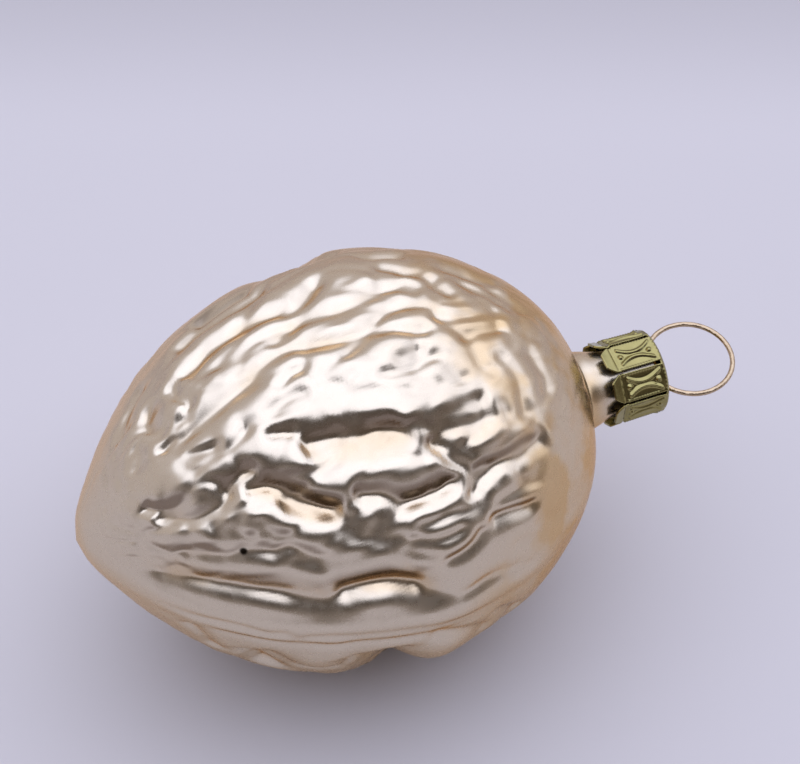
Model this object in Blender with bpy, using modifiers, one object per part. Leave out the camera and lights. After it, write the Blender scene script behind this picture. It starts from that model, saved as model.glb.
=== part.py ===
"""Glass walnut ornament: a mould-blown shell, its crown cap and its spring-wire hanger.

Metres, +Z up. The origin is the middle of the small flat spot that the ornament lies on, and
+X runs along the nut's axis towards the hanger. Angles round the axis are measured from the
near side (-Y) over the top (+Z). Sizes below are in millimetres.
"""
from math import atan2, cos, exp, hypot, pi, radians, sin, sqrt

import bmesh
import bpy
from mathutils import Matrix, Vector

MM = 0.001

# Driving dimensions
AXIS_HEIGHT = 21.7      # the nut's axis above the flat spot
TIP_TO_SPOT = 31.7      # along the axis, from the nut's tip to the middle of the flat spot
WALL = 0.7              # blown glass
NECK_RADIUS = 3.5
MOUTH_AT = 64.6         # the neck's open end, from the tip
CAP_FACE_AT = 65.3      # the cap's outer face, from the tip
CAP_SHEET = 0.25
CAP_RADIUS = 4.4        # at the shoulder
PETAL_END_AT = 59.0
PETALS = 8
PETAL_PHASE = 39.5      # degrees, the middle of one petal
PETAL_END_RADIUS = 4.75
SLOT_WIDTH = 0.45
SLOT_END_AT = 64.3      # where the slots stop, just under the shoulder
CORNER_SIZE = 1.6       # of the square bars that take off the petals' corners
CUT_DEPTH = 3.0         # of the cutters through the cap's skirt
WIRE_RADIUS = 0.3
RING_RADIUS = 4.75      # of the wire's centreline
RING_CENTRE_AT = 69.67
RING_ROLL = 3.7         # degrees, the far side of the ring up
RING_GAP = 35           # degrees, half the ring's opening, where the legs leave it
LEG_OFFSET = 1.95       # of each leg from the axis, inside the neck
WIRE_HOLE_RADIUS = 0.65
WIRE_HOLE_DEPTH = 2.0

# One leg from its end to the ring: distance from the tip and from the axis
LEG = (
    (47.0, 7.2), (50.0, 6.0), (53.0, 4.0), (56.0, 2.4), (59.0, LEG_OFFSET), (62.0, LEG_OFFSET),
    (64.6, LEG_OFFSET), (65.2, 1.98),
)
BEND = ((65.45, 2.1), (65.62, 2.35))

# Outline of the glass from the tip to the mouth: distance along the axis and radius
BODY = (
    (0.0, 0.0), (0.7, 2.6), (2.4, 5.5), (6.5, 10.9), (12.0, 16.0), (18.5, 19.6), (25.0, 21.5),
    (32.0, 22.4), (38.0, 21.3), (43.7, 19.3), (48.4, 16.2), (52.0, 12.7), (54.1, 9.4), (55.0, 7.0),
    (55.3, 5.2),
)
NECK = ((55.9, 4.6), (57.2, 4.25), (58.6, 3.85), (60.6, NECK_RADIUS), (MOUTH_AT, NECK_RADIUS))
BODY_LENGTH = 55.0
BODY_STEPS = 3          # rings of the mesh for each stretch of the body's outline
SIDES = 48              # of the glass and of the cap

# The mould's main furrows: depth, half width and the line each follows, given as the distance
# from the tip and the angle round the axis. The mould's other half repeats them half a turn on.
FURROWS = (
    (1.5, 1.9, ((4, 22), (9, 22), (15, 19), (21, 14), (26, 17), (31, 11), (43, 7))),
    (1.3, 1.8, ((8, 52), (12, 51), (17, 55), (22, 47), (27, 44), (34, 42), (44, 44))),
    (0.9, 1.8, ((9, 37), (15, 36), (21, 31), (28, 30), (37, 27), (46, 28))),
    (1.2, 1.8, ((8, 68), (15, 68), (22, 64), (31, 60), (40, 62), (46, 67))),
    (1.0, 1.8, ((8, 76), (14, 82), (22, 89), (29, 86), (38, 93), (46, 94))),
    (1.0, 1.8, ((9, 98), (18, 105), (26, 103), (33, 110), (44, 108))),
    (1.0, 1.8, ((8, 115), (15, 118), (24, 118), (34, 121), (45, 124))),
    (1.0, 1.8, ((8, 135), (17, 139), (22, 134))),
    (1.0, 1.8, ((9, 155), (18, 153), (22, 156))),
    (0.8, 1.8, ((8, -8), (14, -16), (20, -19), (24, -9))),
    (1.9, 2.3, ((25, -8), (27, -24), (29, -38), (31, -54))),
    (0.8, 1.8, ((31, -4), (36, -12), (41, -24), (46, -26))),
)
WELT_HEIGHT = 0.35      # the raised line where the mould's halves meet
WELT_HALF_WIDTH = 2.2
WELT_ANGLE = 5.0
SPOT_CLEARANCE = 9.0    # the relief fades out this near to the flat spot


def catmull_rom(points, steps):
    """Points on a smooth curve through the given ones, as Vectors."""
    knots = [Vector(p) for p in points]
    knots = [2 * knots[0] - knots[1]] + knots + [2 * knots[-1] - knots[-2]]
    curve = []
    for p0, p1, p2, p3 in zip(knots, knots[1:], knots[2:], knots[3:]):
        t1 = sqrt((p1 - p0).length)
        t2 = t1 + sqrt((p2 - p1).length)
        t3 = t2 + sqrt((p3 - p2).length)
        for step in range(steps):
            t = t1 + (t2 - t1) * step / steps
            a1 = p0.lerp(p1, t / t1)
            a2 = p1.lerp(p2, (t - t1) / (t2 - t1))
            a3 = p2.lerp(p3, (t - t2) / (t3 - t2))
            b1 = a1.lerp(a2, t / t2)
            b2 = a2.lerp(a3, (t - t1) / (t3 - t1))
            curve.append(b1.lerp(b2, (t - t1) / (t2 - t1)))
    curve.append(knots[-2])
    return curve


def material(name, colour, roughness, metallic):
    made = bpy.data.materials.new(name)
    made.use_nodes = True
    shader = made.node_tree.nodes["Principled BSDF"]
    shader.inputs["Base Color"].default_value = (*colour, 1.0)
    shader.inputs["Roughness"].default_value = roughness
    shader.inputs["Metallic"].default_value = metallic
    return made


def new_object(name, data, collection):
    made = bpy.data.objects.new(name, data)
    collection.objects.link(made)
    return made


def modified(obj, kind, **settings):
    """Adds a modifier, named after its kind, with the given settings."""
    added = obj.modifiers.new(kind.title(), kind)
    for key, value in settings.items():
        setattr(added, key, value)
    return added


def evaluated_mesh(obj):
    bpy.context.view_layer.update()
    graph = bpy.context.evaluated_depsgraph_get()
    return bpy.data.meshes.new_from_object(obj.evaluated_get(graph))


def turned(name, outline, collection):
    """An open sheet turned round the nut's axis from (distance from the tip, radius) points."""
    path = [Vector((radius, 0, along)) * MM for along, radius in reversed(outline)]
    sheet = bpy.data.meshes.new(name)
    sheet.from_pydata(path, [(n, n + 1) for n in range(len(path) - 1)], [])
    blank = new_object(name + "_blank", sheet, collection)
    modified(blank, "SCREW", angle=2 * pi, steps=SIDES, render_steps=SIDES, axis="Z",
             use_merge_vertices=True, merge_threshold=0.00005)
    mesh = evaluated_mesh(blank)
    bpy.data.objects.remove(blank)
    mesh.transform(place(0) @ Matrix.Rotation(pi / 2, 4, "Y"))
    mesh.name = name
    return new_object(name, mesh, collection)


def place(along):
    """The frame at a distance from the tip along the nut's axis."""
    return Matrix.Translation(Vector((along - TIP_TO_SPOT, 0, AXIS_HEIGHT)) * MM)


def polar(point):
    """Distance from the tip, radius and angle in degrees of a point, in millimetres."""
    local = (place(0).inverted() @ point) / MM
    return local.x, hypot(local.y, local.z), atan2(local.z, -local.y) * 180 / pi


def from_polar(along, radius, angle):
    turn = radians(angle)
    return place(along) @ (Vector((0, -radius * cos(turn), radius * sin(turn))) * MM)


def to_segment(point, start, end):
    """How far a point on the unrolled surface is from a straight stretch."""
    run = end - start
    share = max(0.0, min(1.0, (point - start).dot(run) / run.length_squared))
    return (point - start - run * share).length


def turn_between(angle, reference):
    return (angle - reference + 180) % 360 - 180


def from_line(here, radius, angle, line):
    """How far a point is from a furrow's line, both unrolled onto the plane."""
    first = line[0][1]
    to_first = turn_between(first, angle)
    unrolled = [Vector((x, radians(to_first + a - first) * radius)) for x, a in line]
    return min(to_segment(here, a, b) for a, b in zip(unrolled, unrolled[1:]))


def relief(along, radius, angle):
    """Height of the mould's relief at a point of the smooth shell, in millimetres."""
    here = Vector((along, 0))
    height = 0
    for half_turn in (0, 180):
        for depth, half_width, line in FURROWS:
            away = from_line(here, radius, angle - half_turn, line)
            height -= depth * exp(-((away / half_width) ** 2))
        across = radians(turn_between(angle - half_turn, WELT_ANGLE)) * radius
        height += WELT_HEIGHT * exp(-((across / WELT_HALF_WIDTH) ** 2))
    ends = max(0.0, sin(pi * min(along, BODY_LENGTH) / BODY_LENGTH))
    from_spot = hypot(along - TIP_TO_SPOT, radians(turn_between(angle, 270)) * radius)
    return height * ends ** 0.7 * (1 - exp(-((from_spot / SPOT_CLEARANCE) ** 4)))


def make_glass(collection):
    """The shell: turned, given the mould's relief, cut flat where it lies, then thickened."""
    outline = [tuple(p) for p in catmull_rom(BODY, BODY_STEPS)] + list(NECK)
    shell = turned("glass_shell", outline, collection)
    for vertex in shell.data.vertices:
        along, radius, angle = polar(vertex.co)
        if 0 < along < BODY_LENGTH:
            radius += relief(along, radius, angle)
            vertex.co = from_polar(along, radius, angle)
        vertex.co.z = max(vertex.co.z, 0.0)
    shell.data.shade_smooth()
    modified(shell, "SOLIDIFY", thickness=WALL * MM, offset=-1)
    shell.data.materials.append(material("silvered_glass", (0.80, 0.68, 0.55), 0.28, 0.9))


def box(size, matrix, mesh):
    """Adds a box of a size in millimetres to a bmesh."""
    scale = Matrix.Diagonal((*[s * MM for s in size], 1))
    bmesh.ops.create_cube(mesh, size=1, matrix=matrix @ scale)


def cutter(name, mesh, collection):
    data = bpy.data.meshes.new(name)
    mesh.to_mesh(data)
    mesh.free()
    made = new_object(name, data, collection)
    made.hide_render = True
    made.display_type = "WIRE"
    return made


def petal_gaps():
    step = 360 / PETALS
    return [PETAL_PHASE + step * (n + 0.5) for n in range(PETALS)]


def at_angle(along, radius, angle):
    """A frame on the cap's skirt, its Z pointing away from the axis."""
    return Matrix.Translation(from_polar(along, radius, angle)) @ Matrix.Rotation(
        radians(90 - angle), 4, "X"
    )


def slot_cutter(collection):
    """Bars that part the petals, open past the petals' ends."""
    length = 2 * (SLOT_END_AT - PETAL_END_AT)
    mesh = bmesh.new()
    for angle in petal_gaps():
        frame = at_angle(PETAL_END_AT, CAP_RADIUS, angle)
        box((length, SLOT_WIDTH, CUT_DEPTH), frame, mesh)
    return cutter("slot_cutter", mesh, collection)


def corner_cutter(collection):
    """Square bars on edge that take the corners off the petals' ends."""
    mesh = bmesh.new()
    for angle in petal_gaps():
        frame = at_angle(PETAL_END_AT, CAP_RADIUS, angle) @ Matrix.Rotation(pi / 4, 4, "Z")
        box((CORNER_SIZE, CORNER_SIZE, CUT_DEPTH), frame, mesh)
    return cutter("corner_cutter", mesh, collection)


def wire_hole_cutter(collection):
    mesh = bmesh.new()
    for side in (-1, 1):
        centre = ring_plane(CAP_FACE_AT, side * LEG_OFFSET)
        turn = Matrix.Translation(centre) @ Matrix.Rotation(pi / 2, 4, "Y")
        bmesh.ops.create_cone(mesh, cap_ends=True, segments=16, radius1=WIRE_HOLE_RADIUS * MM,
                              radius2=WIRE_HOLE_RADIUS * MM, depth=WIRE_HOLE_DEPTH * MM,
                              matrix=turn)
    return cutter("wire_hole_cutter", mesh, collection)


def flatten_petals(mesh):
    """Turns the round skirt into flat petals, from the shoulder down."""
    half = pi / PETALS
    for vertex in mesh.vertices:
        along, radius, angle = polar(vertex.co)
        down = max(0.0, min(1.0, (CAP_FACE_AT - along) / 2))
        from_middle = radians((angle - PETAL_PHASE) % (360 / PETALS)) - half
        from_middle = half - abs(from_middle)
        flat = cos(half) / cos(from_middle)
        vertex.co = from_polar(along, radius * (1 - down + down * flat), angle)


def face_outwards(mesh):
    """Turns over the faces of a sheet that was turned from the face back to the rim."""
    bm = bmesh.new()
    bm.from_mesh(mesh)
    bmesh.ops.reverse_faces(bm, faces=bm.faces)
    bm.to_mesh(mesh)
    bm.free()


def make_cap(collection, cutters):
    outline = (
        (PETAL_END_AT, PETAL_END_RADIUS + 0.2), (PETAL_END_AT + 0.7, PETAL_END_RADIUS),
        (61.5, 4.65), (63.2, 4.65), (64.4, 4.55), (64.9, CAP_RADIUS), (65.2, 4.1),
        (CAP_FACE_AT, 3.7), (CAP_FACE_AT, 2.8), (CAP_FACE_AT, 1.0), (CAP_FACE_AT, 0.0),
    )
    cap = turned("crown_cap", outline[::-1], collection)
    flatten_petals(cap.data)
    face_outwards(cap.data)
    modified(cap, "SOLIDIFY", thickness=CAP_SHEET * MM, offset=-1)
    for tool in (slot_cutter(cutters), corner_cutter(cutters), wire_hole_cutter(cutters)):
        modified(cap, "BOOLEAN", operation="DIFFERENCE", solver="EXACT", object=tool)
    cap.data.materials.append(material("cap_brass", (0.62, 0.56, 0.28), 0.3, 1.0))


def ring_plane(along, across):
    """A point of the plane that the ring and both its legs lie in."""
    roll = radians(RING_ROLL)
    return place(along) @ (Vector((0, across * cos(roll), across * sin(roll))) * MM)


def wire_line():
    """The wire's centreline from one leg's end round the ring to the other's."""
    arc = []
    for step in range(RING_GAP, 361 - RING_GAP, 10):
        turn = radians(180 - step)
        arc.append((RING_CENTRE_AT + RING_RADIUS * cos(turn), RING_RADIUS * sin(turn)))
    rising = [tuple(p) for p in catmull_rom(LEG, 3)] + list(BEND)
    falling = [(along, -across) for along, across in reversed(rising)]
    return [ring_plane(*p) for p in rising + arc + falling]


def make_hanger(collection):
    points = wire_line()
    curve = bpy.data.curves.new("hanger_wire", "CURVE")
    curve.dimensions = "3D"
    curve.bevel_depth = WIRE_RADIUS * MM
    curve.bevel_resolution = 2
    curve.use_fill_caps = True
    spline = curve.splines.new("POLY")
    spline.points.add(len(points) - 1)
    for point, place_at in zip(spline.points, points):
        point.co = (*place_at, 1.0)
    wire = new_object("hanger_wire", curve, collection)
    curve.materials.append(material("spring_wire", (0.72, 0.55, 0.40), 0.25, 1.0))
    return wire


def main():
    for obj in list(bpy.data.objects):
        bpy.data.objects.remove(obj)
    parts = bpy.data.collections.new("glass_walnut_ornament")
    cutters = bpy.data.collections.new("cutters")
    for collection in (parts, cutters):
        bpy.context.scene.collection.children.link(collection)
    make_glass(parts)
    make_cap(parts, cutters)
    make_hanger(parts)


main()
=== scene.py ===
"""Looks of the glass walnut ornament: a silvered, frosted shell with a stamped cap and a wire ring.

Lengths in the tables are millimetres. A place on the nut is given as its distance from the tip
along the axis and its angle round the axis, in degrees, from the near side (-Y) over the top.
"""
from math import cos, exp, pi, radians, sin, sqrt

import bmesh
import bpy
import numpy as np
from mathutils import Matrix, Vector, noise


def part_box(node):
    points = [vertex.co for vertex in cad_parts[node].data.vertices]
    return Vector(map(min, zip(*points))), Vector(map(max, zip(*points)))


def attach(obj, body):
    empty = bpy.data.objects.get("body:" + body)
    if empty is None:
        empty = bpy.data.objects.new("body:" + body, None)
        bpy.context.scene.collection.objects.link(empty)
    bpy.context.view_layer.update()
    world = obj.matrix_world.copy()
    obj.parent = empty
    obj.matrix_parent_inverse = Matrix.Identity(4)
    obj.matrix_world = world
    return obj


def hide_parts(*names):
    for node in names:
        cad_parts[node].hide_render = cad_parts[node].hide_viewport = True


MM = 0.001
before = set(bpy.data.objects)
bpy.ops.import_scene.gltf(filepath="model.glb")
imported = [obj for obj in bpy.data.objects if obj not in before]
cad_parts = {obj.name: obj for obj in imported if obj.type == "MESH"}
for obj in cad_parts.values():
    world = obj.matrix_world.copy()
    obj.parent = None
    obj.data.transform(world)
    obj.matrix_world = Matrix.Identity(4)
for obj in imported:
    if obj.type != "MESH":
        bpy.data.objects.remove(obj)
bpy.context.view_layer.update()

# The frame of the looks, from the CAD solids
GLASS_LOW, GLASS_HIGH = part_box("glass_shell")
CAP_LOW, CAP_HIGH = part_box("crown_cap")
WIRE_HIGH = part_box("hanger_wire")[1]
TIP = Vector((GLASS_LOW.x, 0, (CAP_LOW.z + CAP_HIGH.z) / 2))
MOUTH_AT = (GLASS_HIGH.x - TIP.x) / MM
CAP_FACE_AT = (CAP_HIGH.x - TIP.x) / MM
RING_END_AT = (WIRE_HIGH.x - TIP.x) / MM

# Outline of the glass: distance from the tip and radius
BODY = (
    (0.0, 0.0), (0.7, 2.6), (2.4, 5.5), (6.5, 10.9), (12.0, 16.0), (18.5, 19.6), (25.0, 21.5),
    (32.0, 22.4), (38.0, 21.3), (43.7, 19.3), (48.4, 16.2), (52.0, 12.7), (54.1, 9.4), (55.0, 7.0),
    (55.3, 5.2),
)
NECK = ((55.9, 4.6), (57.2, 4.25), (58.6, 3.85), (60.6, 3.5), (62.5, 3.5), (MOUTH_AT, 3.5))
BODY_LENGTH = 55.0
SAG = (-0.3, -0.2)      # of the body's middle off the neck's axis, in Y and Z

# The fine mesh: rows along the outer skin, points round it, and rows of the inner wall
ALONG_STEPS = 210
AROUND_STEPS = 420
INNER_ROWS = 24
WALL = 0.7
FOLD_ROOM = 2.2         # what the inner wall stays further in by, clear of the folds
FOLD_ROOM_FADE = 4.0    # and how far before the neck that starts
INNER_END_AT = 2.5      # the inner wall's last row, near the tip
INNER_END_RADIUS = 0.3
INNER_POLE_AT = 2.2

# The mould's folds: the line each follows, its depth, and its half width towards lower and
# towards higher angles
BELT_FOLDS = (
    # the long furrow over the suture, with its two deep stretches
    (((2, 23), (5, 23.5), (9, 23), (12, 22), (15, 20.6), (18, 18.3), (19.7, 16.6),
      (21, 16), (22.5, 17), (24.5, 18.5), (26.5, 18.5), (28, 17), (30, 14.2), (32, 11.5),
      (35, 8.5)), 1.3, 1.3, 3.2),
    (((8, 23.2), (11, 22.6), (13.5, 21.4), (16, 19.6), (18.5, 17.2)), 0.8, 0.9, 1.5),
    (((21.5, 16.3), (23.3, 17.6), (25.3, 18.4), (27.3, 18), (29, 16.3), (30.5, 14)),
     1.5, 1.2, 1.4),
    (((33, 8.5), (35, 9), (37, 10), (39, 9), (41, 7), (44, 6)), 0.5, 0.7, 0.8),
    (((39, 6.5), (40, 8.5), (41.5, 9.5)), 0.3, 0.8, 0.6),
    (((28.2, 34), (27.9, 30), (28.2, 26), (29.3, 22), (31, 18)), 0.5, 0.5, 0.9),
    # fine double line of the suture
    (((5, 3), (9, 4), (12, 5.5), (13.6, 4.5), (15, 3.5), (16.4, 4.6), (17.4, 2), (19, 3.4),
      (24, 2.8), (29, 2), (34, 0), (40, -1)), 0.35, 0.35, 0.45),
    (((8, -2), (12, -0.8), (16, -1), (18, -0.4), (21, -1.4), (23, -0.4), (27, -1.6), (32, -2.4),
      (38, -4)), 0.35, 0.45, 0.35),
    # lobes and hollows under the suture
    (((30, -3), (33, -6), (36, -12), (37.5, -20)), 0.7, 0.8, 0.8),
    (((25.3, -7), (25.8, -14), (27, -24), (28.5, -36), (30.5, -54)), 2.4, 2.6, 2.2),
    (((14, -8), (16, -14), (18.5, -20), (21, -19), (23, -12), (24.5, -8)), 0.6, 0.8, 0.8),
    (((12.5, -12), (14, -20), (15.5, -30)), 1.4, 1.4, 1.6),
    (((8, -6), (9.5, -14), (10.5, -24)), 0.7, 0.9, 0.9),
    (((37, -8), (40, -16), (42, -26)), 0.9, 1.2, 1.2),
)
LOWER_FOLDS = (
    # the front of the second row of lobes: a smile, an S and a lip
    (((7, 55), (8.5, 52.5), (10, 51), (11.5, 50.8), (13, 52), (14.3, 54.5), (15.3, 57)),
     1.2, 0.8, 2.6),
    (((13.5, 56), (15, 58), (16.3, 60.3), (17.3, 62.5)), 1.0, 1.0, 0.9),
    (((10, 56.5), (11.3, 58), (12.5, 57)), 0.5, 0.7, 0.6),
    (((6.6, 62.5), (7.2, 59.5), (7.6, 56)), 0.8, 0.6, 0.6),
    (((15.2, 54.3), (16.5, 55), (18.2, 54.5), (19.8, 52), (21, 49), (22, 46.3), (23.3, 44.2),
      (24.6, 43)), 1.6, 1.4, 1.0),
    (((24.5, 45.5), (26, 45), (27.5, 44.5), (28.6, 42.6), (29.5, 41.3), (31, 40.6), (33, 40.6),
      (34.6, 41.8), (36.2, 43.5)), 1.5, 1.1, 1.7),
    (((23, 37), (25, 34.5), (27.5, 33.5), (30, 33.5)), 0.5, 1.0, 3.0),
    (((36.2, 43.5), (38, 43), (40, 43.2), (43, 44), (47, 45)), 1.0, 2.2, 0.8),
    (((33.6, 55.5), (34.5, 51.5), (35.3, 48), (36.3, 45.2), (37.2, 43.3)), 1.5, 0.7, 1.3),
    (((36.2, 47.5), (37.4, 51), (38.6, 54), (40.5, 57.5)), 0.5, 1.0, 0.7),
    (((23.8, 56), (25, 57), (26.4, 56.5)), 0.25, 0.5, 0.5),
    # the front of the third row: a pit and two lips
    (((19.0, 68.9), (20, 68.3), (21.2, 67.5), (22, 66.6)), 1.0, 0.7, 0.7),
    (((21.4, 62.8), (23, 63.3), (25, 62.5), (27, 61.4), (29, 60.6), (30.5, 60.5), (31.6, 62)),
     1.5, 3.0, 1.2),
    (((29, 58.8), (31, 58.4), (33, 58.3), (35, 58.8), (37, 59.8), (39, 60.8), (41.5, 62)),
     0.8, 3.0, 0.75),
    # small folds of the first row
    (((8.2, 40), (9.5, 37), (11, 35.8), (13, 35.2), (14.3, 36.5), (15.5, 36), (17, 34.8),
      (18.6, 36), (19.6, 33.2), (21, 31.5), (22.6, 32)), 0.8, 1.2, 0.7),
    (((18.5, 33), (19.2, 30.5), (20.6, 29), (21.3, 25.5)), 0.5, 0.7, 0.6),
    (((13, 49.5), (15, 50.5), (17, 50.5), (19, 50), (20.6, 49.6)), 0.7, 0.6, 0.7),
    (((18.3, 47.8), (19.3, 48.4), (20.4, 47.6), (21.6, 45.8), (23, 44), (24.6, 42.4)),
     1.3, 1.7, 0.7),
    (((11.9, 48), (12.2, 45), (12.6, 41), (12.3, 38)), 0.6, 0.5, 0.7),
    (((15.3, 49), (14.3, 46.5), (14, 43.5), (14.8, 41), (16, 40)), 0.6, 0.6, 0.7),
    (((16.3, 47), (16.4, 43), (17.6, 40), (19, 38.2)), 0.5, 0.6, 0.7),
    (((27.2, 41), (26.8, 38), (26.2, 35), (25.3, 32)), 0.6, 0.9, 0.7),
    (((28.5, 39.6), (30, 40), (31.5, 39.6), (33, 38)), 0.9, 1.1, 0.5),
    (((32.6, 36.5), (33.3, 38.5), (34.4, 41.5), (36.8, 42.8)), 0.8, 0.9, 0.6),
    (((36.2, 35), (37.3, 38.5), (38.6, 40.6), (40.4, 42)), 1.1, 1.0, 0.5),
    (((30, 34.3), (31.5, 34), (34, 34.2), (36, 33.6), (38.3, 34.2)), 0.6, 0.9, 0.5),
    (((28.4, 35), (29, 31.6), (30.6, 30), (32.5, 29.3), (34, 29.4), (35.7, 30.4)),
     0.7, 0.9, 0.5),
    (((28.6, 29.4), (30, 26.7), (31.2, 25.3), (32.6, 24.4)), 0.6, 0.8, 0.5),
    (((32, 21.6), (33.6, 22.3), (35.2, 23.4), (36.6, 26), (37.3, 28)), 0.8, 0.9, 0.6),
    (((37.6, 27.6), (38.8, 28.2), (40, 28), (42.5, 26.5), (44, 26)), 1.1, 1.1, 0.5),
    (((38.6, 31), (40, 33), (43, 32.5), (45, 33.5)), 0.4, 0.8, 0.6),
    (((41.5, 36.5), (43, 35), (45.5, 36)), 0.4, 0.8, 0.6),
    (((43, 21), (45, 17), (46.5, 14)), 0.4, 0.8, 0.8),
    (((40, 18), (42, 15.5), (44.5, 13)), 0.3, 0.8, 0.8),
)
UPPER_FOLDS = (
    # crossing folds by the shoulder
    (((37.8, 76), (38.2, 72), (39, 68), (39.6, 66)), 0.4, 0.7, 0.7),
    (((40.8, 77), (41.2, 73), (42, 69), (43, 66)), 0.4, 0.7, 0.7),
    (((44, 75), (44.3, 70), (45, 64), (44.6, 57), (44.2, 50)), 0.6, 0.7, 0.7),
    (((47.3, 76), (47.8, 70), (48.2, 63), (47.6, 56)), 0.6, 0.7, 0.7),
    (((42, 60), (42.6, 56), (42.2, 52)), 0.4, 0.6, 0.6),
    (((40, 79), (42, 80.5), (44, 81.5), (46, 84)), 0.7, 0.8, 0.8),
    # shallow crinkles round the pit
    (((9.6, 80), (10.3, 82), (11.3, 83)), 0.8, 0.5, 0.7),
    (((11.6, 75.5), (12.6, 73), (14, 72), (15.2, 72.6)), 0.7, 0.8, 0.5),
    (((17, 72.4), (18, 72.8)), 0.6, 0.5, 0.4),
    (((20, 73), (21, 75.5), (23, 76.5), (24.5, 75)), 0.6, 0.6, 0.7),
    (((25.3, 77), (26.5, 75.5), (28.2, 73.4)), 0.6, 0.6, 0.6),
    (((21.3, 79.5), (22.5, 81.5), (24, 83.3), (25.3, 84)), 0.65, 0.5, 0.6),
    (((28, 76.4), (29.2, 76.2)), 0.4, 0.4, 0.4),
    (((28.3, 81), (29.3, 84), (31, 85.6)), 0.6, 0.6, 0.6),
    (((32.8, 76.3), (34.5, 77), (36.5, 79)), 0.7, 0.5, 0.6),
    (((31, 75), (32, 73.4), (34, 73.3), (36, 75), (38.5, 76)), 0.65, 0.6, 0.7),
    (((26, 71), (28, 69.5), (30, 70.5), (31.5, 69.5)), 0.15, 0.4, 0.6),
    (((27, 67.5), (29, 68.5), (31.5, 67)), 0.25, 0.4, 0.4),
    (((33, 67), (34.5, 69.5), (36, 69)), 0.25, 0.5, 0.5),
    # the long folds over the top
    (((8.5, 76.5), (11, 79), (14, 82.2), (16, 84), (18, 86), (20, 88.4), (22, 90.6),
      (24, 91.4), (26, 90), (28, 87.6), (30, 87), (32, 88.6), (34, 92), (36, 94.4),
      (38, 95.6), (42, 96)), 1.0, 1.3, 1.6),
    (((32, 86.6), (34, 85.8), (36, 84.8), (38, 83.4)), 0.7, 0.8, 0.9),
    (((22, 93), (23.5, 97.5), (25.5, 99.2), (28, 98.6), (30, 97.4), (32, 98), (34, 100),
      (35.4, 103)), 1.0, 1.4, 1.4),
    (((34.2, 103), (36, 101.8), (37.5, 99.6), (39, 97.5)), 1.0, 0.9, 1.5),
    (((40.5, 107), (40.4, 102), (41, 98), (42, 94.5)), 0.9, 0.7, 0.9),
    (((35.5, 113), (38, 109), (40, 105.5)), 0.8, 0.9, 1.1),
    (((43, 105), (44.5, 101), (46.5, 96), (48, 90)), 0.8, 0.8, 1.0),
    (((38, 89), (41, 86.5), (44, 88), (46.5, 92)), 0.7, 0.8, 1.0),
    (((46, 104), (48, 98), (49.5, 91)), 0.7, 0.8, 0.9),
    (((13, 102), (14.5, 105.5), (16.5, 107.3), (20, 108.2), (24, 107.6), (26, 105), (27.5, 107),
      (29, 111), (30.5, 114)), 1.1, 1.5, 1.0),
    (((15, 97), (18, 98.2), (20.5, 97.4), (22.5, 99)), 0.4, 0.7, 1.2),
    (((13.5, 120.5), (17, 121.5), (20.5, 120), (22.5, 120), (25, 124)), 0.9, 1.2, 0.9),
    (((19.5, 107), (21, 110), (22.3, 114), (23.5, 117)), 0.7, 0.9, 0.9),
    (((10.9, 86), (9.9, 90), (9.5, 95), (9.7, 101), (10.3, 108)), 0.9, 0.7, 0.9),
    (((6.8, 105), (7.3, 111), (8.6, 117.5), (10.8, 121.5)), 0.9, 0.8, 0.9),
    (((12, 105), (12.8, 102), (12.7, 98), (13.3, 94), (13.6, 91), (12.9, 88.5)), 0.9, 0.5, 0.5),
    (((11.8, 88.5), (12.6, 87), (13.6, 85.8)), 0.5, 0.4, 0.5),
    (((15, 99), (15.5, 96), (15.3, 93.5)), 0.4, 0.5, 0.6),
    (((6.5, 80), (7.5, 84), (7.8, 89), (7.4, 94)), 0.5, 0.8, 0.8),
    (((30, 104), (31.5, 106), (33.5, 106.5)), 0.3, 0.6, 0.8),
    (((35, 118), (37, 121), (40, 120)), 0.8, 1.0, 1.2),
    (((28.5, 127), (31, 130.5), (34, 129)), 1.0, 1.2, 1.2),
    (((42, 112), (45, 108), (48, 106)), 0.8, 1.0, 1.0),
    (((17, 128), (20, 126), (24, 127.5)), 0.9, 1.2, 1.2),
)
FOLDS = BELT_FOLDS + LOWER_FOLDS + UPPER_FOLDS

# Lobes that stand over the rest: the middle, half length, half width and height
LOBES = (
    (11.0, 56, 3.6, 3.4, 0.6), (15.5, 46, 2.4, 2.6, 0.35), (26.5, 50, 3.0, 2.2, 0.3),
    (25.0, 27, 4.0, 2.6, 0.3), (14.0, 29, 5.0, 2.4, 0.3), (35.0, 28, 3.4, 3.0, 0.3),
    (41.0, 52, 2.6, 2.0, 0.3), (38.0, 102, 2.4, 2.2, 0.3),
    (33.0, 79, 3.2, 2.2, 0.25), (20.0, -14, 3.0, 3.0, 0.4), (32.5, -14, 2.4, 3.0, 0.5),
    (10.0, -14, 1.6, 2.6, 0.3),
)

FOLD_REACH = 2.6        # in half widths, how far from its line a fold counts
LEAST_RADIUS = 4.0      # for turning that reach into an angle near the tip
FOLD_POWER = 1.6        # of a fold's cross section
FOLD_TAPER = 0.12       # the share of its length over which a fold fades at each end
FOLD_BLEND = 1.7        # how crossing folds add up: 1 sums them, more keeps the deeper one

# The raised line where the mould's halves meet
SUTURE = 4.5            # degrees, on the near side
SUTURE_HEIGHT = 0.35
SUTURE_HALF_WIDTH = 1.7
NEAR_HALF = 90.0        # degrees, the middle of the mould half that faces the camera

# Small lumps between the folds. A rate is in waves or cells per millimetre.
LUMP_SQUASH = 0.55      # of the noise along the nut, so that lumps are longer that way
WANDER_RATE = 0.16      # of the slow shift that makes the creases meander
WANDER_REACH = 2.2
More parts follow.
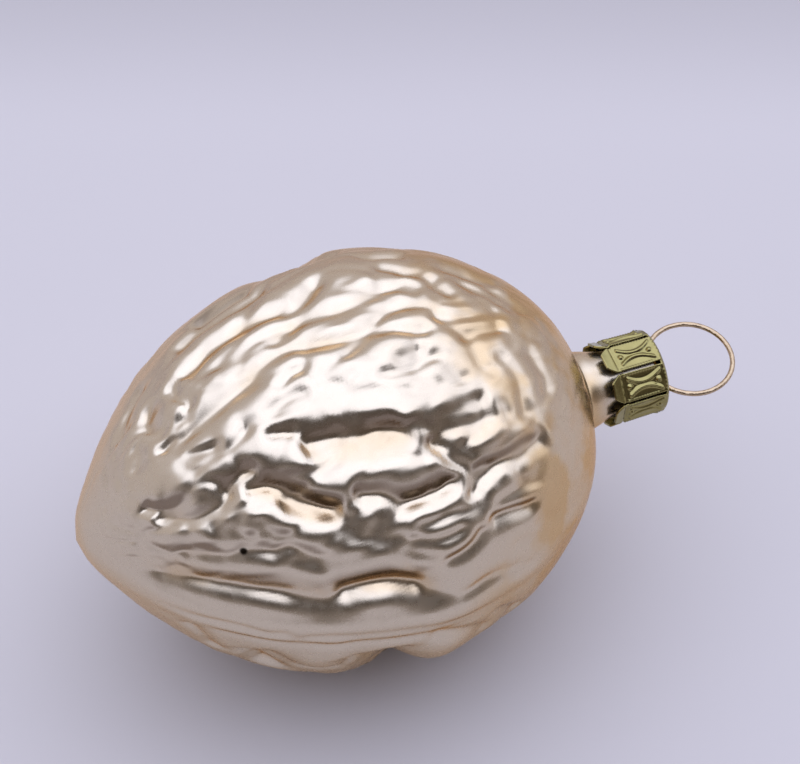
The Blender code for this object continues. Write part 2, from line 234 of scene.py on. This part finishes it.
# Where in the noise each direction of that shift is read
WANDER_SHIFTS = (Vector((2, 9, 4)), Vector((31, 7, 5)), Vector((3, 47, 13)))
CREASE_RATE = 0.27
CREASE_DEPTH = 0.45
CREASE_WIDTH = 0.16     # in cells of the noise
WAVES = ((1.1, 0.11), (2.3, 0.035), (0.42, 0.24))   # rate and height
BAND_HALF = 14.0        # degrees, half the smooth band along the suture
BAND_FADE = 22.0
BAND_LUMPS = 0.12       # the share of the lumps' height in it
RIM_FROM = 100.0        # degrees, where the lumps start to flatten on the far side
RIM_FADE = 15.0
RIM_FLATTENING = 0.5

# Calm places between the lumps: from the tip, angle and reach
CALM = ((15.0, 83, 2.6), (32.0, 75, 2.4), (29.0, 106, 2.6), (20.0, 111, 3.0), (7.0, 75, 3.0))
CALM_FLATTENING = 0.8

TIP_FADE = 8.0          # the relief grows over this length from the tip
NECK_FADE = 20.0        # and fades over this length towards the neck
SMOOTHING = 0.9         # in cells of the mesh

# Painted shade: the folds' undersides get a dark colour in place of the dark they reflect
# The undersides of folds that count as lips: round this angle, as far as this, and the fade
PAINTED_SHADE_AT = 8.0
PAINTED_SHADE_REACH = 78.0
PAINTED_SHADE_FADE = 25.0

SPECK = (14.4, 36.0)    # a near-black spot in a fold: from the tip, and the angle
SPECK_RADIUS = 0.0006   # metres
SPECK_SUNK = 0.9        # the relief's depth there


def catmull_rom(points, steps):
    """Points on a smooth curve through the given ones, centripetal so that it never loops."""
    knots = [Vector(p) for p in points]
    knots = [2 * knots[0] - knots[1]] + knots + [2 * knots[-1] - knots[-2]]
    curve = []
    for p0, p1, p2, p3 in zip(knots, knots[1:], knots[2:], knots[3:]):
        t1 = sqrt((p1 - p0).length)
        t2 = t1 + sqrt((p2 - p1).length)
        t3 = t2 + sqrt((p3 - p2).length)
        for step in range(steps):
            t = t1 + (t2 - t1) * step / steps
            a1 = p0.lerp(p1, t / t1)
            a2 = p1.lerp(p2, (t - t1) / (t2 - t1))
            a3 = p2.lerp(p3, (t - t2) / (t3 - t2))
            b1 = a1.lerp(a2, t / t2)
            b2 = a2.lerp(a3, (t - t1) / (t3 - t1))
            curve.append(b1.lerp(b2, (t - t1) / (t2 - t1)))
    curve.append(knots[-2])
    return curve


def on_axis(along, radius, turn):
    """A point, in metres, from its distance from the tip, radius and angle in radians."""
    return TIP + Vector((along, -radius * cos(turn), radius * sin(turn))) * MM


def from_middle(angle, middle):
    """How far an angle is from a middle one, -90 to 90, the same on both mould halves."""
    return (angle - middle + 90) % 180 - 90


# ---------------------------------------------------------------- the glass's shape

def outline(rows):
    """(distances from the tip, radii) at even steps along the glass's outline."""
    dense = np.array([tuple(p) for p in catmull_rom(BODY + NECK, 40)])
    run = np.concatenate([[0], np.cumsum(np.hypot(*np.diff(dense, axis=0).T))])
    even = np.linspace(0, run[-1], rows)
    return np.interp(even, run, dense[:, 0]), np.interp(even, run, dense[:, 1])


def fold_depth(along, angle, radius, fold):
    """How deep one fold is at each point of the grid."""
    line, depth, below, above = fold
    path = np.array([tuple(p) for p in catmull_rom(line, 5)])
    reach = FOLD_REACH * max(below, above)
    reach_angle = np.degrees(reach / np.maximum(radius, LEAST_RADIUS))
    near = (along > path[:, 0].min() - reach) & (along < path[:, 0].max() + reach)
    near &= (angle > path[:, 1].min() - reach_angle) & (angle < path[:, 1].max() + reach_angle)
    x, a, scale = along[near], angle[near], np.radians(radius[near])
    best = np.full(x.shape, np.inf)
    over = np.zeros(x.shape, bool)
    share = np.zeros(x.shape)
    for n, (start, end) in enumerate(zip(path, path[1:])):
        run_x, run_a = end[0] - start[0], (end[1] - start[1]) * scale
        to_x, to_a = x - start[0], (a - start[1]) * scale
        t = np.clip((to_x * run_x + to_a * run_a) / (run_x**2 + run_a**2), 0, 1)
        away = (to_x - t * run_x) ** 2 + (to_a - t * run_a) ** 2
        closer = away < best
        best = np.where(closer, away, best)
        over = np.where(closer, (run_x * to_a - run_a * to_x) * np.sign(run_x) > 0, over)
        share = np.where(closer, (n + t) / (len(path) - 1), share)
    ends = np.clip(np.minimum(share, 1 - share) / FOLD_TAPER, 0, 1)
    ends = ends * ends * (3 - 2 * ends)
    found = np.zeros(along.shape)
    width = np.where(over, above, below)
    found[near] = depth * ends * np.exp(-((np.sqrt(best) / width) ** FOLD_POWER))
    return found


def lobes(along, angle, radius):
    """Height of the broad soft lobes."""
    found = np.zeros(along.shape)
    for turn in (-180, 0, 180):
        for middle, middle_angle, half_length, half_width, rise in LOBES:
            across = np.radians(angle + turn - middle_angle) * radius
            away = ((along - middle) / half_length) ** 2 + (across / half_width) ** 2
            found += rise * np.exp(-away)
    return found


def lump(place):
    """Height of the creases and waves at one place, the same on every run."""
    slow = [noise.noise(place * WANDER_RATE + shift) for shift in WANDER_SHIFTS]
    bend = Vector(slow) * WANDER_REACH
    near, second = noise.voronoi((place + bend) * CREASE_RATE)[0][:2]
    crease = -CREASE_DEPTH * exp(-((second - near) / CREASE_WIDTH))
    return crease + sum(height * noise.noise(place * rate + bend) for rate, height in WAVES)


def lumps(along, angle, radius):
    """Height of the small lumps and wrinkles, flatter by the suture, the rim and calm places."""
    turn = np.radians(angle)
    places = np.stack([along * LUMP_SQUASH, -radius * np.cos(turn), radius * np.sin(turn)], -1)
    found = np.zeros(along.shape)
    for index in np.ndindex(along.shape):
        found[index] = lump(Vector(places[index]))
    from_band = np.clip((np.abs(from_middle(angle, SUTURE)) - BAND_HALF) / BAND_FADE, 0, 1)
    found *= BAND_LUMPS + (1 - BAND_LUMPS) * from_band
    found *= 1 - RIM_FLATTENING * np.clip((angle % 180 - RIM_FROM) / RIM_FADE, 0, 1)
    for middle, middle_angle, reach in CALM:
        across = np.radians(from_middle(angle, middle_angle)) * radius
        away = ((along - middle) ** 2 + across**2) / reach**2
        found *= 1 - CALM_FLATTENING * np.exp(-away)
    return found


def blurred(grid, cells):
    """A grid smoothed both ways, wrapping round the axis."""
    reach = int(3 * cells) + 1
    weights = np.exp(-0.5 * (np.arange(-reach, reach + 1) / cells) ** 2)
    weights /= weights.sum()
    padded = np.pad(grid, ((reach, reach), (0, 0)), "edge")
    grid = sum(w * padded[n:n + len(grid)] for n, w in enumerate(weights))
    return sum(w * np.roll(grid, n - reach, axis=1) for n, w in enumerate(weights))


def relief(along, angle, radius):
    """Height of the relief over the smooth outline, the same on both mould halves."""
    half = from_middle(angle, NEAR_HALF) + NEAR_HALF
    total = np.zeros(along.shape)
    for turn in (-180, 0, 180):
        for fold in FOLDS:
            total += fold_depth(along, half + turn, radius, fold) ** FOLD_BLEND
    height = lobes(along, half, radius) + lumps(along, half, radius) - total ** (1 / FOLD_BLEND)
    across = np.radians(from_middle(angle, SUTURE)) * radius
    height += SUTURE_HEIGHT * np.exp(-((across / SUTURE_HALF_WIDTH) ** 4))
    height *= np.minimum(1, along / TIP_FADE) ** 0.7
    height *= np.clip((BODY_LENGTH - along) / NECK_FADE, 0, 1) ** 0.5
    return blurred(height, SMOOTHING)


def painted_lip_shade_amount(angle, radius, height):
    """How steeply the relief overhangs: its rise towards higher angles, on the lower side. It sets
    the painted shade under the folds.
    """
    across = np.radians(360 / AROUND_STEPS) * radius
    rise = np.roll(height, -1, axis=1) - np.roll(height, 1, axis=1)
    off = np.abs(from_middle(angle, 0) - PAINTED_SHADE_AT)
    return rise / (2 * across) * np.clip((PAINTED_SHADE_REACH - off) / PAINTED_SHADE_FADE, 0, 1)


def speck_point():
    """Where the speck lies in the relief, in metres."""
    along, angle = SPECK
    radius = np.interp(along, *outline(ALONG_STEPS)) - SPECK_SUNK
    bow = sin(pi * along / BODY_LENGTH)
    return on_axis(along, radius, radians(angle)) + Vector((0, *SAG)) * bow * MM


def glass_grid():
    """Distances, angles, radii and relief: the outer skin's rows, then the inner wall's."""
    rows_along, rows_radius = outline(ALONG_STEPS)
    angles = np.arange(AROUND_STEPS) * 360 / AROUND_STEPS - 90
    along, angle = np.meshgrid(rows_along[1:], angles, indexing="ij")
    radius = np.repeat(rows_radius[1:, None], AROUND_STEPS, 1)
    height = relief(along, angle, radius)
    inner_along = np.linspace(MOUTH_AT, INNER_END_AT, INNER_ROWS)
    inner_radius = np.interp(inner_along, rows_along, rows_radius)
    inset = np.clip((BODY_LENGTH - inner_along) / FOLD_ROOM_FADE, 0, 1) * FOLD_ROOM + WALL
    inner_radius = np.maximum(inner_radius - inset, INNER_END_RADIUS)
    along = np.vstack([along, np.repeat(inner_along[:, None], AROUND_STEPS, 1)])
    angle = np.vstack([angle, np.tile(angles, (INNER_ROWS, 1))])
    radius = np.vstack([radius + height, np.repeat(inner_radius[:, None], AROUND_STEPS, 1)])
    height = np.vstack([height, np.zeros((INNER_ROWS, AROUND_STEPS))])
    return along, angle, radius, height


def glass_faces(rows):
    """Quads between the grid's rows, and a fan to the pole that closes each end."""
    pairs = [(n, (n + 1) % AROUND_STEPS) for n in range(AROUND_STEPS)]
    faces = []
    for row in range(rows - 1):
        a, b = row * AROUND_STEPS, (row + 1) * AROUND_STEPS
        faces += [(a + n, a + m, b + m, b + n) for n, m in pairs]
    first_pole, last_pole = rows * AROUND_STEPS, rows * AROUND_STEPS + 1
    last = (rows - 1) * AROUND_STEPS
    for n, m in pairs:
        faces.append((first_pole, m, n))
        faces.append((last_pole, last + n, last + m))
    return faces


def add_values(mesh, name, grid):
    """A named value at each of the grid's points, and 0 at the two poles."""
    values = np.append(grid.reshape(-1), [0, 0]).astype(np.float32)
    mesh.attributes.new(name, "FLOAT", "POINT").data.foreach_set("value", values)


def make_glass():
    """A fine mesh of the outer skin, closed by the mouth's rim and a plain inner wall."""
    along, angle, radius, height = glass_grid()
    bow = np.sin(pi * np.clip(along / BODY_LENGTH, 0, 1))
    turn = np.radians(angle)
    points = np.stack([
        along,
        -radius * np.cos(turn) + SAG[0] * bow,
        radius * np.sin(turn) + SAG[1] * bow,
    ], -1).reshape(-1, 3) * MM + np.array(TIP)
    points[:, 2] = np.maximum(points[:, 2], 0)
    points = np.vstack([points, on_axis(0, 0, 0), on_axis(INNER_POLE_AT, 0, 0)])
    mesh = bpy.data.meshes.new("walnut_glass")
    mesh.from_pydata(points.tolist(), [], glass_faces(len(along)))
    mesh.shade_smooth()
    add_values(mesh, "hollow", -height)
    # painted shade: how far each fold's underside is darkened in the glass's colour
    add_values(mesh, "painted_lip_shade", painted_lip_shade_amount(angle, radius, height))
    add_values(mesh, "along", along)
    return finished("walnut_glass", mesh, glass_material(), "glass_shell")


def finished(name, data, material, node):
    """Makes the piece that stands for a CAD node, with its material."""
    piece = bpy.data.objects.new(name, data)
    bpy.context.scene.collection.objects.link(piece)
    piece.data.materials.append(material)
    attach(piece, "root")
    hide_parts(node)
    return piece


# ---------------------------------------------------------------- the cap and the ring

PETALS = 8
PETAL_STEP = 360 / PETALS
PETAL_PHASE = 39.5      # degrees, the middle of one petal
SLOT_HALF = 2.2         # degrees, half the gap between two petals at the shoulder
PETAL_HALF = PETAL_STEP / 2 - SLOT_HALF
PETAL_COLUMNS = 36
PETAL_ROWS = 60
PETAL_LENGTH = 6.0      # down the skirt from its start
CORNER_CUT = 1.0        # what the petals' corners are shorter by
CAP_SHEET = 0.22
SKIRT_AT = 0.55         # the skirt's start, back from the cap's face
SKIRT_RADIUS = 4.62
SKIRT_OVERLAP = 0.02    # where its first row lies
FLAT_OVER = 1.2         # the round skirt turns into flat petals over this length
FLARE_AT = 4.7          # down the skirt, where the petals' ends start to stand out
MILLING = 0.05          # height of the milled ridges round the shoulder
MILLED_RIDGES = 60
MILLED_FROM = 4.3       # the radius they start at

# The cap's face: radius, and how far back from its plane
FACE = (
    (0.25, 0.0), (1.2, 0.0), (2.6, 0.0), (3.4, 0.0), (3.85, 0.04), (4.2, 0.15), (4.42, 0.3),
    (4.54, 0.42),
)

# The stamped pattern of a petal, down from its start: two bowed lines back to back, a bead at
# each end of them, a beaded edge, and a groove below
STAMP_HEIGHT = 0.26
BOWS_FROM, BOWS_TO = 0.35, 4.3
BOWS_MIDDLE = 2.4
BOWS_HALF = 2.1
BOWS_GAP = 0.28         # of each from the petal's middle line, where they are closest
BOWS_SPREAD = 0.9
BOW_WIDTH = 0.22
BEADS_AT = (0.75, 4.05)
BEAD_RADIUS = 0.26
EDGE_HEIGHT = 0.14
EDGE_WIDTH = 0.14
EDGE_TO = 4.6
EDGE_BEAD = 0.32
GROOVE_DEPTH = 0.12
GROOVE_AT = 4.75
GROOVE_WIDTH = 0.16


def bell(distance, width):
    return np.exp(-((distance / width) ** 2))


def emboss(down, across, half):
    """Height of the stamp at a place on a petal: across from its middle line, half its width."""
    height = -GROOVE_DEPTH * bell(down - GROOVE_AT, GROOVE_WIDTH)
    if BOWS_FROM < down < BOWS_TO:
        bow = BOWS_GAP + BOWS_SPREAD * ((down - BOWS_MIDDLE) / BOWS_HALF) ** 2
        height += STAMP_HEIGHT * bell(abs(across) - bow, BOW_WIDTH)
    for at in BEADS_AT:
        away = ((down - at) ** 2 + across**2) / BEAD_RADIUS**2
        height += STAMP_HEIGHT * np.exp(-(away**1.5))
    if down < EDGE_TO:
        beaded = 0.65 + 0.35 * cos(2 * pi * down / EDGE_BEAD)
        height += EDGE_HEIGHT * beaded * bell(half - EDGE_WIDTH - abs(across), EDGE_WIDTH)
    return height


def skirt_radius(down, angle):
    """Radius of the skirt's sheet, down from its start at an angle."""
    off = radians((angle - PETAL_PHASE + PETAL_STEP / 2) % PETAL_STEP - PETAL_STEP / 2)
    half = radians(PETAL_STEP / 2)
    flat = min(1, (down + 0.2) / FLAT_OVER)
    flare = 0.2 * max(0, down - FLARE_AT) ** 1.5 + 0.02 * down
    radius = SKIRT_RADIUS * (1 - flat + flat * cos(half) / cos(off)) + flare
    return radius + emboss(down, radius * np.tan(off), radius * np.tan(half - radians(SLOT_HALF)))


def cap_column(angle, share):
    """Points of the cap's sheet from its middle to a petal's end. Share is 1 at a slot."""
    turn = radians(angle)
    column = []
    for radius, back in FACE:
        milled = MILLING * sin(turn * MILLED_RIDGES) if radius > MILLED_FROM else 0
        column.append(on_axis(CAP_FACE_AT - back, radius + milled, turn))
    end = PETAL_LENGTH - CORNER_CUT * max(0, 2 * share - 1) ** 1.3
    for row in range(PETAL_ROWS + 1):
        down = SKIRT_OVERLAP + (end - SKIRT_OVERLAP) * row / PETAL_ROWS
        along = CAP_FACE_AT - SKIRT_AT - down
        column.append(on_axis(along, skirt_radius(down, angle), turn))
    return column


def make_cap():
    """The stamped cap: a disc, a rounded milled shoulder and eight petals, one thin sheet."""
    bm = bmesh.new()
    grid = []
    for petal in range(PETALS):
        for n in range(PETAL_COLUMNS + 1):
            share = 2 * n / PETAL_COLUMNS - 1
            angle = PETAL_PHASE + PETAL_STEP * petal + share * PETAL_HALF
            grid.append([bm.verts.new(point) for point in cap_column(angle, abs(share))])
    for n, (here, following) in enumerate(zip(grid, grid[1:] + grid[:1])):
        parted = (n + 1) % (PETAL_COLUMNS + 1) == 0
        for row in range(len(FACE) if parted else len(here) - 1):
            bm.faces.new((here[row], here[row + 1], following[row + 1], following[row]))
    bm.faces.new([column[0] for column in grid])
    bmesh.ops.recalc_face_normals(bm, faces=bm.faces)
    mesh = bpy.data.meshes.new("stamped_cap")
    bm.to_mesh(mesh)
    bm.free()
    mesh.shade_smooth()
    cap = finished("stamped_cap", mesh, cap_material(), "crown_cap")
    sheet = cap.modifiers.new("Sheet", "SOLIDIFY")
    sheet.thickness = CAP_SHEET * MM
    sheet.offset = -1
    return cap


RING_RADIUS = 4.75      # of the wire's middle line
WIRE_RADIUS = 0.29
CAD_WIRE_RADIUS = 0.3
RING_ROLL = 3.7         # degrees, the far side of the ring up
RING_GAP = 35           # degrees, half the ring's opening, where the legs leave it
ARC_STEP = 5            # degrees
LEG_OFFSET = 1.95

# One leg from its end to the ring: distance from the tip and from the axis
LEG = (
    (47.0, 7.2), (50.0, 6.0), (53.0, 4.0), (56.0, 2.4), (59.0, LEG_OFFSET), (62.0, LEG_OFFSET),
    (64.6, LEG_OFFSET), (65.2, LEG_OFFSET + 0.03),
)
BEND = ((65.45, 2.1), (65.62, 2.35))


def wire_line():
    """The wire's middle line from end to end: distance from the tip and from the axis."""
    rising = [tuple(p) for p in catmull_rom(LEG, 4)] + list(BEND)
    centre = RING_END_AT - RING_RADIUS - CAD_WIRE_RADIUS
    arc = []
    for step in range(RING_GAP, 361 - RING_GAP, ARC_STEP):
        turn = radians(180 - step)
        arc.append((centre + RING_RADIUS * cos(turn), RING_RADIUS * sin(turn)))
    falling = [(along, -across) for along, across in reversed(rising)]
    return rising + arc + falling


def make_ring():
    """The spring wire: ring, bends, and the legs that splay inside the glass."""
    curve = bpy.data.curves.new("ring_wire", "CURVE")
    curve.dimensions = "3D"
    curve.bevel_depth = WIRE_RADIUS * MM
    curve.bevel_resolution = 5
    curve.use_fill_caps = True
    line = wire_line()
    spline = curve.splines.new("POLY")
    spline.points.add(len(line) - 1)
    roll = radians(RING_ROLL)
    for point, (along, across) in zip(spline.points, line):
        place = TIP + Vector((along, across * cos(roll), across * sin(roll))) * MM
        point.co = (*place, 1)
    return finished("ring_wire", curve, wire_material(), "hanger_wire")


# ---------------------------------------------------------------- materials

class Nodes:
    """A short way to build the nodes of a material or a world."""

    def __init__(self, owner, shader="Principled BSDF"):
        owner.use_nodes = True
        self.tree = owner.node_tree
        self.shader = self.tree.nodes[shader]

    def put(self, value, socket):
        if isinstance(value, bpy.types.NodeSocket):
            self.tree.links.new(value, socket)
        else:
            socket.default_value = value

    def add(self, kind, **inputs):
        node = self.tree.nodes.new(kind)
        for key, value in inputs.items():
            self.put(value, node.inputs[key.replace("_", " ")])
        return node

    def shade(self, **inputs):
        for key, value in inputs.items():
            self.put(value, self.shader.inputs[key.replace("_", " ")])

    def math(self, operation, *values):
        node = self.add("ShaderNodeMath")
        node.operation = operation
        for n, value in enumerate(values):
            self.put(value, node.inputs[n])
        return node.outputs[0]

    def ramp(self, value, low, high, to_low=0.0, to_high=1.0):
        """A smooth step from one value to another between low and high."""
        node = self.add("ShaderNodeMapRange")
        node.interpolation_type = "SMOOTHSTEP"
        for socket, number in zip(node.inputs, (value, low, high, to_low, to_high)):
            self.put(number, socket)
        return node.outputs[0]

    def mix(self, factor, low, high):
        node = self.add("ShaderNodeMix")
        node.data_type = "RGBA"
        self.put(factor, node.inputs[0])
        self.put(low, node.inputs[6])
        self.put(high, node.inputs[7])
        return node.outputs[2]

    def place(self, kind="Object"):
        return self.add("ShaderNodeTexCoord").outputs[kind]

    def noise(self, scale, detail=3.0):
        node = self.add("ShaderNodeTexNoise", Vector=self.place(), Scale=scale, Detail=detail)
        return node.outputs["Fac"]

    def attribute(self, name):
        node = self.add("ShaderNodeAttribute")
        node.attribute_name = name
        return node.outputs["Fac"]

    def near(self, point, reach):
        """1 at a point of the object's own frame, falling to 0 a reach away."""
        node = self.add("ShaderNodeVectorMath")
        node.operation = "DISTANCE"
        self.put(self.place(), node.inputs[0])
        node.inputs[1].default_value = point
        return self.ramp(node.outputs["Value"], reach, reach * 0.5)

    def bump(self, height, strength, distance):
        node = self.add("ShaderNodeBump", Height=height, Strength=strength, Distance=distance)
        self.put(node.outputs[0], self.shader.inputs["Normal"])


def glass_material():
    """Silvering seen through frosted champagne lacquer, amber in the hollows and by the neck, with
    painted reflection and painted shade in the folds.
    """
    material = bpy.data.materials.new("silvered_glass")
    made = Nodes(material)
    along = made.attribute("along")
    shoulder = made.math("MULTIPLY", made.ramp(along, 29.0, 50.0), made.ramp(along, 59.0, 55.5))
    # amber in the hollows: partly lacquer pooled there, partly painted reflection of the groove
    # walls
    hollow = made.ramp(made.attribute("hollow"), 0.5, 1.4, 0.0, 0.4)
    pooled_and_painted_reflection = made.math("MAXIMUM", hollow, made.math("MULTIPLY", shoulder, 0.9))
    patches = made.ramp(made.noise(150.0), 0.42, 0.6)
    pooled_and_painted_reflection = made.math("MULTIPLY", pooled_and_painted_reflection, made.math("ADD", patches, 0.3))
    colour = made.mix(made.math("MINIMUM", pooled_and_painted_reflection, 1.0),
                      (0.67, 0.58, 0.45, 1), (0.63, 0.45, 0.25, 1))
    # painted shade: the folds' undersides darkened to brown, in place of the dark they reflect
    painted_lip_shade = made.ramp(made.attribute("painted_lip_shade"), 0.22, 0.65, 0.0, 0.8)
    colour = made.mix(painted_lip_shade, colour, (0.19, 0.135, 0.09, 1))
    speck = made.near(speck_point(), SPECK_RADIUS)
    colour = made.mix(speck, colour, (0.02, 0.015, 0.01, 1))
    rough = made.ramp(made.noise(900.0), 0.3, 0.7, 0.24, 0.30)
    made.shade(Base_Color=colour, Metallic=1.0, Roughness=rough,
               Specular_Tint=(1.0, 0.80, 0.60, 1))
    made.bump(made.noise(4200.0, 2.0), 0.12, 0.00004)
    return material


def cap_material():
    """Thin sheet brass under greenish gold lacquer."""
    material = bpy.data.materials.new("cap_brass")
    made = Nodes(material)
    colour = made.mix(made.noise(700.0), (0.25, 0.215, 0.08, 1), (0.37, 0.32, 0.13, 1))
    rough = made.ramp(made.noise(2500.0), 0.3, 0.7, 0.14, 0.26)
    made.shade(Base_Color=colour, Metallic=1.0, Roughness=rough)
    made.bump(made.noise(6000.0), 0.1, 0.00003)
    return material


def wire_material():
    """Bright drawn wire, rose gold."""
    material = bpy.data.materials.new("spring_wire")
    made = Nodes(material)
    colour = made.mix(made.noise(900.0), (0.40, 0.29, 0.18, 1), (0.60, 0.46, 0.30, 1))
    rough = made.ramp(made.noise(3000.0), 0.3, 0.7, 0.1, 0.22)
    made.shade(Base_Color=colour, Metallic=1.0, Roughness=rough)
    made.bump(made.noise(1800.0), 0.6, 0.0002)
    return material


def floor_material():
    """Pale lavender paper, which darkens from 70 to 110 mm behind the object's middle."""
    material = bpy.data.materials.new("floor_paper")
    made = Nodes(material)
    colour = made.mix(made.noise(30.0), (0.565, 0.524, 0.515, 1), (0.575, 0.534, 0.525, 1))
    x, y, z = made.add("ShaderNodeSeparateXYZ", Vector=made.place()).outputs
    away = made.math("ADD", made.math("MULTIPLY", x, 0.35), made.math("MULTIPLY", y, 0.94))
    colour = made.mix(made.ramp(away, 0.07, 0.11), colour, (0.45, 0.415, 0.41, 1))
    made.shade(Base_Color=colour, Roughness=0.7)
    return material


# ---------------------------------------------------------------- the studio

CAMERA_FROM_TIP = Vector((-9.43, -121.11, 170.08)) * MM
LOOK_DOWN = 51.0        # degrees
LOOK_LEFT = -20.37      # degrees, the camera's azimuth
FOCAL_LENGTH = 90.0
FLOOR_HALF = 2.0        # metres, half its width
FLOOR_GAP = 0.0001      # metres, under the object


def make_camera():
    data = bpy.data.cameras.new("camera")
    data.lens = FOCAL_LENGTH
    data.sensor_width = 36.0
    data.clip_start = 0.01
    camera = bpy.data.objects.new("camera", data)
    bpy.context.scene.collection.objects.link(camera)
    turn = Matrix.Rotation(radians(LOOK_LEFT), 4, "Z")
    tilt = Matrix.Rotation(radians(90 - LOOK_DOWN), 4, "X")
    camera.matrix_world = Matrix.Translation(TIP + CAMERA_FROM_TIP) @ turn @ tilt
    bpy.context.scene.camera = camera


def make_floor():
    bm = bmesh.new()
    bmesh.ops.create_grid(bm, x_segments=1, y_segments=1, size=FLOOR_HALF)
    mesh = bpy.data.meshes.new("floor")
    bm.to_mesh(mesh)
    bm.free()
    floor = bpy.data.objects.new("floor", mesh)
    bpy.context.scene.collection.objects.link(floor)
    floor.location.z = -FLOOR_GAP
    mesh.materials.append(floor_material())


def height_of(elevation):
    """The Z of a direction at an elevation in degrees."""
    return sin(radians(elevation))


def make_world():
    """A bright tent overhead, dimmer walls, and a dark gap low over the near side."""
    world = bpy.data.worlds.new("studio")
    bpy.context.scene.world = world
    made = Nodes(world, "Background")
    direction = made.place("Generated")
    x, y, z = made.add("ShaderNodeSeparateXYZ", Vector=direction).outputs
    # the tent's edge is lower to the right and in front
    slant = made.math("SUBTRACT", made.math("MULTIPLY", x, 0.14), made.math("MULTIPLY", y, 0.28))
    tent = made.ramp(made.math("ADD", z, slant), height_of(12), height_of(34))
    # its cloth is uneven, and brightest overhead
    folds = made.add("ShaderNodeTexNoise", Vector=direction, Scale=7.0, Detail=3.0)
    uneven = made.ramp(folds.outputs["Fac"], 0.35, 0.65)
    overhead = made.math("MULTIPLY", made.ramp(z, height_of(25), height_of(75)), 0.5)
    cloth = made.mix(made.math("MULTIPLY_ADD", uneven, 0.5, overhead),
                     (1.08, 1.16, 1.48, 1), (1.82, 1.94, 2.42, 1))
    walls = made.mix(tent, (0.62, 0.585, 0.63, 1), cloth)
    # the gap faces the camera, and is darkest at the height it looks from
    towards = made.math("ADD", made.math("MULTIPLY", x, -0.2), made.math("MULTIPLY", y, -0.97))
    front = made.ramp(towards, 0.08, 0.42)
    low = made.math("SUBTRACT", 1.0, made.ramp(z, height_of(44), height_of(58)))
    dark = made.mix(made.ramp(z, height_of(0), height_of(35)), (0.30, 0.27, 0.28, 1),
                    (0.085, 0.07, 0.064, 1))
    made.shade(Color=made.mix(made.math("MULTIPLY", front, low), walls, dark))


make_glass()
make_cap()
make_ring()
make_floor()
make_world()
make_camera()
bpy.context.scene.view_settings.view_transform = "Standard"
